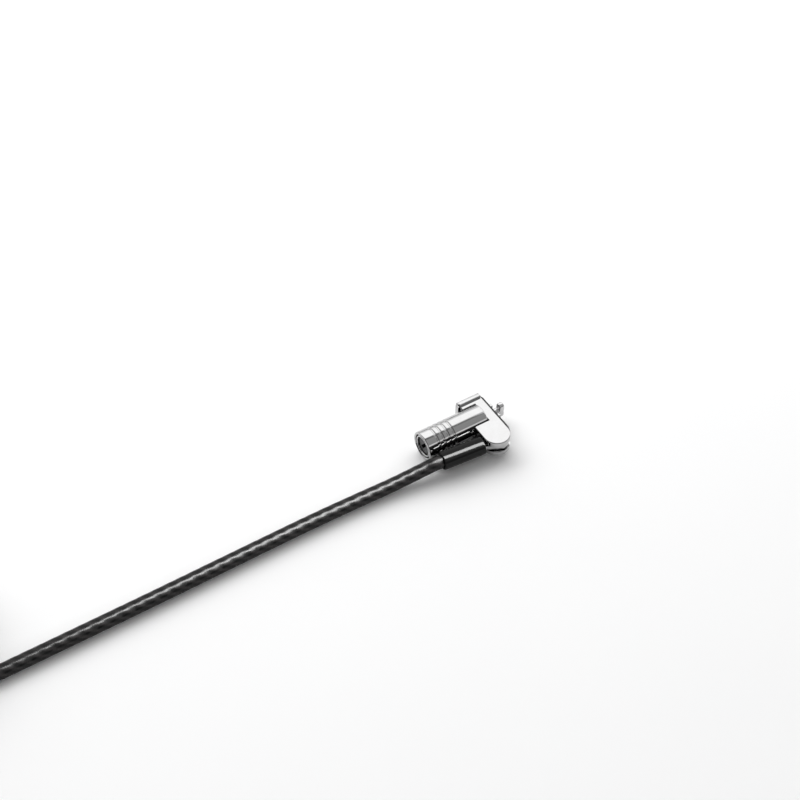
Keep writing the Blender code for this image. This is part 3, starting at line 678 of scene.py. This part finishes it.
def make_end_loop(mats):
    """The cable turned back on itself into an eye, a little thinner than the main run."""
    eye_cable_r = 2.0
    low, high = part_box("loop_ferrule")
    root_x, line_y = low.x - CLEARANCE * MM, (low.y + high.y) / 2
    level = (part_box("end_loop")[0].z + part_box("end_loop")[1].z) / 2
    outline = [(1.6, 1.9), (-0.3, 2.2), (-2.0, 2.5), (-5.0, 4.6), (-9.5, 8.4), (-14.0, 10.9)]
    turn = arc(-19.0, 0.0, 12.0, 80, 280, 14)
    mirrored = [(x, -y) for x, y in reversed(outline)]
    points = [Vector((root_x + x * MM, line_y + y * MM, level)) for x, y in outline + turn + mirrored]
    path = smooth_path(points, 1.0 * MM)
    return add_piece("eye_loop", strand_tube(path, eye_cable_r, 36, STRAND_RELIEF), Matrix.Identity(4),
                     mats["cable_sheath"], "cable_hinge", ("end_loop",), sharp=80)


# ---- head ----
def head_mesh():
    """Plate with a round end, an upright arm, the barrel's saddle, the clevis slot and two lugs."""
    outline = [(HEAD_FRONT, ARM_OUTER_Y), *arc(PIVOT.x, PIVOT.y, EAR_R, 0, -180, 56),
               (HEAD_REAR, ARM_OUTER_Y)]
    head = bevel_sharp(prism(outline, -HEAD_HALF_H, HEAD_HALF_H), 0.45, 5)
    arm_front, arm_outer = HEAD_FRONT - 0.1, ARM_OUTER_Y - 0.02
    plan = [(ARM_REAR, arm_outer), (ARM_REAR + ARM_SLANT, ARM_INNER_Y), (arm_front, ARM_INNER_Y),
            (arm_front, arm_outer)]
    arm = prism(plan, -HEAD_HALF_H + 0.5, ARM_TOP)
    bevel_sharp(arm, 0.3, 4)
    for vert in arm.verts:
        if vert.co.z > HEAD_HALF_H:
            vert.co.z -= (vert.co.y - ARM_INNER_Y) * ARM_TOP_FALL
    head = combine(head, arm, "UNION")
    clevis = arc(PIVOT.x, PIVOT.y, EAR_R - 0.05, -90, 90, 48)
    clevis += arc(PIVOT.x, PIVOT.y, SLOT_DEPTH_R, 100, 270, 48)
    cutters = [
        prism(circle(0, 0, SADDLE_R, 96), -40, WEB_REAR, "X"),
        prism(rectangle(-40, ARM_REAR + ARM_SLANT, 0.0, ARM_INNER_Y), -9, 9),
        prism(clevis, -SLOT_HALF, SLOT_HALF),
        prism(rectangle(PIVOT.x, 1, PIVOT.y - 8, PIVOT.y), -SLOT_HALF, SLOT_HALF),
        prism(circle(PIVOT.x, PIVOT.y, PIN_R + CLEARANCE), -9, PIN_TOP + CLEARANCE),
        prism(circle(0, 0, T_SHAFT_R + CLEARANCE), -6, 1, "X"),
    ]
    for side in (1, -1):
        y, z = side * SCREW_Y, side * SCREW_Z
        cutters.append(prism(circle(y, z, SCREW_R + CLEARANCE, 32), -6, 0, "X"))
        cutters.append(prism(circle(y, z, SCREW_HEAD_R + CLEARANCE, 32), -2, 0, "X"))
    for cutter in cutters:
        head = combine(head, cutter)
    for side in (1, -1):
        lug_y = sorted((side * LUG_INNER_Y, side * LUG_OUTER_Y))
        lug = prism(rectangle(*lug_y, -LUG_HALF_H, LUG_HALF_H), HEAD_FRONT - 0.5, LUG_REACH, "X")
        head = combine(head, bevel_sharp(lug, 0.25, 3), "UNION")
    return head


def make_head(mats):
    add_piece("lock_head", head_mesh(), LOCK, mats["chrome"], "lock_body", ("head_housing",),
              sharp=30, flat_faces=True)
    pad_end_r = 2.7
    window = prism(rectangle(-3.7, 3.7, -1.7, 1.7), -2, 2, "X")
    outline = arc(5.6, 0.0, pad_end_r, 90, -90, 24) + arc(-9.0, 0.0, pad_end_r, -90, -270, 24)
    pad = combine(prism(outline, HEAD_FRONT + 0.25, 0.0, "X"), window)
    add_piece("grip_pad", bevel_sharp(pad, 0.12, 3), LOCK, mats["rubber"], "lock_body",
              ("face_pad",), flat_faces=True)


# ---- barrel, core and T-bar ----
def sleeve_profile():
    """Half section of the barrel's sleeve: rounded key end, four grip grooves, bore."""
    points = arc(BARREL_BACK + BACK_ROUNDING, BARREL_R - BACK_ROUNDING, BACK_ROUNDING, 180, 90, 10)
    for middle in GROOVES:
        half, floor = GROOVE_WIDTH / 2, BARREL_R - GROOVE_DEPTH
        groove = [(middle - half - 0.3, BARREL_R), (middle - half, BARREL_R), (middle - half * 0.5, floor),
                  (middle + half * 0.5, floor), (middle + half, BARREL_R), (middle + half + 0.3, BARREL_R)]
        points += round_corners(groove, 0.14, 3, closed=False)
    chamfer = 0.35
    front = [(-10.0, BARREL_R), (BARREL_FRONT - chamfer, BARREL_R),
             (BARREL_FRONT, BARREL_R - chamfer), (BARREL_FRONT, BORE_R)]
    points += round_corners(front, 0.12, 3, closed=False)
    lip = [(BARREL_BACK + 0.9, BORE_R), (BARREL_BACK + 0.25, BORE_R), (BARREL_BACK, BORE_R + 0.22)]
    return points + lip


def make_barrel(mats):
    add_piece("barrel", lathe(sleeve_profile(), closed=True, sides=128), LOCK, mats["chrome"],
              "lock_body", ("barrel_sleeve",))
    back, front = BARREL_BACK + 0.15, BARREL_BACK + 1.5
    shoulder = BARREL_BACK + 0.4
    outer, inner = 4.25, 3.5
    ring = [(back, 3.7), (back, 3.95), (shoulder, outer), (front, outer), (front, inner), (shoulder, inner)]
    add_piece("key_face_ring", lathe(round_corners(ring, 0.1), closed=True), LOCK, mats["chrome"],
              "lock_body", ("face_ring",))


def make_core(mats):
    """Key plug with its leaning keyway; the parts behind it keep their CAD shape."""
    front = BARREL_BACK + 0.75
    cap_end = front + 1.6
    cage_end = -14.8
    outer, inner = 3.2, 2.6
    plug = lathe(round_corners([(front, 0.0), (front, outer), (cage_end, outer), (cage_end, inner),
                                (cap_end, inner), (cap_end, 0.0)], 0.3, 4, closed=False))
    lean = Matrix.Rotation(math.radians(KEYWAY_TILT), 4, "X")
    keyway = moved(prism(rectangle(-0.65, 0.65, -1.9, 1.9), front - 1, cap_end + 1, "X"), lean)
    sidebar_slot = prism(rectangle(-0.55, 0.55, 2.0, 4.0), -25.8, -16.0, "X")
    for cutter in (keyway, sidebar_slot):
        plug = combine(plug, cutter)
    add_piece("key_core", plug, LOCK, core_material(), "lock_core", ("key_plug",), flat_faces=True)


def make_t_bar(mats):
    """Spindle with a slotted rear flange, and the cross-piece on its end."""
    flange_back, flange_front, flange_r = -10.7, -9.3, 3.0
    cross_start = T_REACH - T_BAR_THICKNESS
    shaft = lathe(round_corners([(flange_back, 0.0), (flange_back, flange_r), (flange_front, flange_r),
                                 (flange_front, T_SHAFT_R), (cross_start + 0.5, T_SHAFT_R),
                                 (cross_start + 0.5, 0.0)], 0.1, 2, closed=False), sides=64)
    shaft = combine(shaft, prism(rectangle(-0.75, 0.75, -4, 4), -12, -9.9, "X"))
    half_width = T_SHAFT_R + 0.02
    span = T_BAR_HALF_SPAN - half_width
    cross = arc(0.0, span, half_width, 0, 180, 20) + arc(0.0, -span, half_width, 180, 360, 20)
    tip = bevel_sharp(prism(cross, cross_start, T_REACH, "X"), 0.35, 4)
    add_piece("t_bar_tip", combine(shaft, tip, "UNION"), LOCK, mats["steel"], "t_bar",
              ("t_bar",), flat_faces=True)


# ---- hinge and boot ----
def make_hinge(mats):
    """Pivot pin, and the knuckle: a flat tongue between the ears and a round neck in the boot."""
    upright = LOCK @ Matrix.Translation(PIVOT) @ Matrix.Rotation(-math.pi / 2, 4, "Y")
    pin = [(-HEAD_HALF_H, 0.0), (-HEAD_HALF_H, PIN_R - 0.2), (-HEAD_HALF_H + 0.2, PIN_R),
           (PIN_TOP, PIN_R), (PIN_TOP, 0.0)]
    add_piece("hinge_pin", lathe(pin, sides=48), upright, mats["steel"], "lock_body",
              ("pivot_pin",))
    half = NECK_R - 0.2
    outline = arc(0.0, 0.0, TONGUE_R, -80, 80, 40)
    outline += [(-1.5, half + 1.6), (-NECK_START + 0.6, half), (-NECK_END + 0.3, half)]
    outline += [(-NECK_END + 0.3, -half), (-NECK_START + 0.6, -half), (-1.5, -half - 1.6)]
    tongue = bevel_sharp(prism(outline, -TONGUE_HALF, TONGUE_HALF), 0.22, 3)
    collar = round_corners([(-NECK_END, 0.0), (-NECK_END, NECK_R), (-NECK_START, NECK_R),
                            (-NECK_START, 0.0)], 0.22, 4, closed=False)
    knuckle = combine(tongue, lathe(collar), "UNION")
    knuckle = combine(knuckle, prism(circle(0, 0, PIN_R + CLEARANCE), -5, 5))
    knuckle = combine(knuckle, prism(circle(0, 0, 1.5, 40), -9, -NECK_START - 0.2, "X"))
    add_piece("knuckle", knuckle, HINGE, mats["chrome"], "cable_hinge", ("swivel_knuckle",),
              flat_faces=True)


def make_boot(mats):
    rounding = 0.45
    skin = [(-x, r) for x, r in arc(BOOT_END - rounding, BOOT_R - rounding, rounding, 0, 90, 8)]
    skin += round_corners([(-BOOT_START - 1.0, BOOT_R), (-BOOT_START, BOOT_R), (-BOOT_START, BOOT_BORE_R)],
                          0.3, 5, closed=False)
    skin += [(-BOOT_END + 0.25, BOOT_BORE_R)]
    return add_piece("boot", lathe(skin, closed=True), HINGE, mats["boot_plastic"], "cable_end",
                     ("cable_boot",))


def dress_cad_nodes(mats):
    """Gives every CAD node its detailed finish, by the finish slot that the CAD gave it."""
    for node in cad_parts.values():
        for place in node.material_slots:
            for key, mat in mats.items():
                if place.material and place.material.name.startswith(key):
                    place.material = mat


# ---- studio ----
def make_floor():
    bm = bmesh.new()
    bmesh.ops.create_grid(bm, x_segments=1, y_segments=1, size=4.0)
    mesh = bpy.data.meshes.new("studio_floor")
    bm.to_mesh(mesh)
    bm.free()
    mesh.materials.append(floor_material())
    floor = bpy.data.objects.new("studio_floor", mesh)
    bpy.context.scene.collection.objects.link(floor)


def add_softbox(name, towards, distance, size, radiance):
    """Rectangular light whose first side lies level, facing the lock from the given direction."""
    data = bpy.data.lights.new(name, "AREA")
    data.shape = "RECTANGLE"
    data.size, data.size_y = size
    data.energy = radiance * math.pi * size[0] * size[1]
    light = bpy.data.objects.new(name, data)
    light.location = Vector(towards).normalized() * distance
    light.rotation_euler = Vector(towards).to_track_quat("Z", "Y").to_euler()
    bpy.context.scene.collection.objects.link(light)
    return light


def light_link(light, objects, state):
    """INCLUDE lights only these objects, EXCLUDE lights everything else."""
    group = bpy.data.collections.new(light.name)
    light.light_linking.receiver_collection = group
    for obj in objects:
        group.objects.link(obj)
    for member in group.collection_objects:
        member.light_linking.link_state = state


# Brightness of the room round the lock's long axis, from the table behind it (0) over the top to the
# table in front (1): dark horizon, white back, dark ceiling edge, grey front with a white gap, dark front.
ROOM_BANDS = ((0.0, 0.10), (0.022, 0.12), (0.05, 1.15), (0.44, 1.15), (0.46, 0.16), (0.50, 0.20),
              (0.56, 0.46), (0.775, 0.42), (0.80, 1.2), (0.825, 1.2), (0.85, 0.02), (1.0, 0.015))


def make_room():
    world = bpy.data.worlds.new("studio")
    world.use_nodes = True
    tree = world.node_tree
    place = tree.nodes.new("ShaderNodeTexCoord")
    split = tree.nodes.new("ShaderNodeSeparateXYZ")
    tree.links.new(place.outputs["Generated"], split.inputs["Vector"])
    angle = math_node(tree, "ARCTAN2", split.outputs["Z"], split.outputs["Y"])
    part = math_node(tree, "MULTIPLY", angle, 1 / math.pi)
    ramp = tree.nodes.new("ShaderNodeValToRGB")
    for index, (position, level) in enumerate(ROOM_BANDS):
        stop = ramp.color_ramp.elements[index] if index < 2 else ramp.color_ramp.elements.new(position)
        stop.position = position
        stop.color = (level, level, level, 1.0)
    tree.links.new(part, ramp.inputs["Fac"])
    tree.links.new(ramp.outputs["Color"], tree.nodes["Background"].inputs["Color"])
    dark_side = remap(tree, split.outputs["X"], -0.78, -0.5, 0.12, 1.0)
    tree.links.new(dark_side, tree.nodes["Background"].inputs["Strength"])
    bpy.context.scene.world = world


def make_studio(plastics):
    """One soft light behind for the metal, one for the table alone and a bright strip for the plastics."""
    make_floor()
    make_room()
    bpy.context.scene.view_settings.view_transform = "Standard"
    back = add_softbox("back_softbox", (0.354, 0.536, 0.766), 0.8, (1.9, 0.75), 0.7)
    light_link(back, plastics, "EXCLUDE")
    table = add_softbox("table_light", (-0.1, 0.72, 0.68), 0.9, (1.3, 0.5), 2.0)
    light_link(table, [bpy.data.objects["studio_floor"]], "INCLUDE")
    strip = add_softbox("front_strip", (0.354, -0.35, 0.87), 0.6, (0.24, 0.86), 50.0)
    light_link(strip, plastics, "INCLUDE")


# ---- everything ----
def main():
    make_camera()
    mats = {"chrome": chrome_material(), "steel": steel_material(), "brass": brass_material(),
            "rubber": rubber_material(), "boot_plastic": boot_material(),
            "cable_sheath": sheath_material(), "tie_fabric": tie_material()}
    cable, path = make_cable(mats)
    end_loop = make_end_loop(mats)
    on_cable = [make_tie(1, TIE_ANGLES[0], mats), make_tie(2, TIE_ANGLES[1], mats),
                make_ferrule(mats), end_loop]
    make_head(mats)
    make_barrel(mats)
    make_core(mats)
    make_t_bar(mats)
    make_hinge(mats)
    boot = make_boot(mats)
    dress_cad_nodes(mats)
    make_studio([cable, boot, end_loop])


main()
